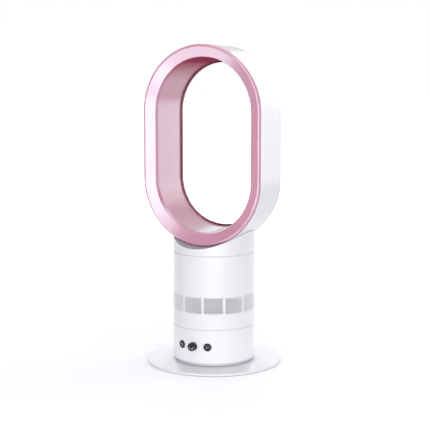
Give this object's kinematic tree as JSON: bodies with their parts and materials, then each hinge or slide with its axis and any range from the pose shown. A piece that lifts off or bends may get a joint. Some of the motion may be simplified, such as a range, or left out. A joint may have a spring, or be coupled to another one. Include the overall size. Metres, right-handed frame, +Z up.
{
  "type": "bladeless fan",
  "caption": "Bladeless fan: oval air loop on a swivelling cylindrical body with button and knob controls, standing on a flat round base.",
  "frame": {"origin": "centre of the circle on which the feet stand, on the table surface", "axes": "+Z up; the fan blows towards -Y; +X to the right seen from the front"},
  "size_m": [0.25, 0.25, 0.587],
  "materials": {
    "disc_white": "gloss lacquer on steel",
    "shell_white": "polished white ABS",
    "front_pink": "satin pink ABS",
    "slot_red": "deep red plastic",
    "gasket_grey": "soft grey elastomer",
    "rubber_dark": "matt black rubber",
    "skirt_grey": "fine texture",
    "control_black": "black with a soft sheen",
    "nylon": "natural nylon",
    "inner_plastic": "moulded grey plastic",
    "steel": "zinc plated",
    "bright_metal": "plain",
    "motor_can": "plated sheet steel",
    "brass_part": "plain",
    "board_green": "lacquered circuit board",
    "part_black": "moulded black"
  },
  "bodies": {
    "base": {"base_plate": "disc_white", "base_feet": "rubber_dark", "swivel_hub": "nylon", "hub_screws": "steel", "glide_ring": "nylon", "fixed_gear": "nylon", "gear_washer": "steel", "gear_screw": "steel"},
    "head": {"turntable": "inner_plastic", "hub_bush": "brass_part", "turntable_screws": "steel", "skirt_ring": "skirt_grey", "control_housing": "shell_white", "cord_gland": "rubber_dark", "button_switches": "part_black", "potentiometer": "motor_can", "control_boards": "board_green", "control_bracket": "inner_plastic", "swing_motor": "motor_can", "motor_bracket": "inner_plastic", "motor_screws": "steel", "deck": "inner_plastic", "power_board": "board_green", "board_screws": "steel", "transformer": "motor_can", "capacitor": "part_black", "heat_sink": "bright_metal", "housing_screws": "steel", "main_housing": "shell_white", "intake_grille": "shell_white", "isolation_ring": "rubber_dark", "impeller_shroud": "inner_plastic", "motor_bucket": "inner_plastic", "bucket_cap": "inner_plastic", "blower_motor": "motor_can", "lower_bearing": "steel", "upper_bearing": "steel", "outlet_duct": "inner_plastic", "neck_seal": "rubber_dark", "neck_duct": "shell_white", "collar": "shell_white", "saddle_gasket": "gasket_grey", "loop_screws": "steel", "loop_shell": "shell_white", "loop_front": "front_pink", "slot_lip": "slot_red", "slot_spacers": "slot_red"},
    "power_button_body": {"power_button": "control_black", "power_plunger": "part_black"},
    "swing_button_body": {"swing_button": "control_black", "swing_plunger": "part_black"},
    "knob_body": {"speed_knob": "control_black", "knob_shaft": "bright_metal"},
    "swing_drive": {"motor_shaft": "steel", "drive_pinion": "nylon"},
    "rotor": {"impeller": "part_black", "impeller_shaft": "steel", "impeller_nut": "brass_part"}
  },
  "joints": [
    {"name": "swing", "type": "hinge", "parent": "base", "child": "head", "pos_m": [0, 0, 0.0137], "axis": [0, 0, 1], "range_deg": [-40, 40]},
    {"name": "drive", "type": "hinge", "parent": "head", "child": "swing_drive", "pos_m": [0, 0.028, 0.021], "axis": [0, 0, 1], "range_deg": [-121, 121]},
    {"name": "blower", "type": "hinge", "parent": "head", "child": "rotor", "pos_m": [0, 0, 0.16], "axis": [0, 0, 1], "continuous": true},
    {"name": "power_press", "type": "slide", "parent": "head", "child": "power_button_body", "axis": [0.3502, 0.9367, 0], "range_m": [0, 0.001], "stiffness_N_per_m": 1500, "springref_m": -0.0005},
    {"name": "swing_press", "type": "slide", "parent": "head", "child": "swing_button_body", "axis": [-0.3502, 0.9367, 0], "range_m": [0, 0.001], "stiffness_N_per_m": 1500, "springref_m": -0.0005},
    {"name": "speed", "type": "hinge", "parent": "head", "child": "knob_body", "pos_m": [0, -0.079, 0.0415], "axis": [0, 1, 0], "range_deg": [0, 270]}
  ],
  "couplings": [
    {"joint": "drive", "follows": "swing", "ratio": 3}
  ]
}
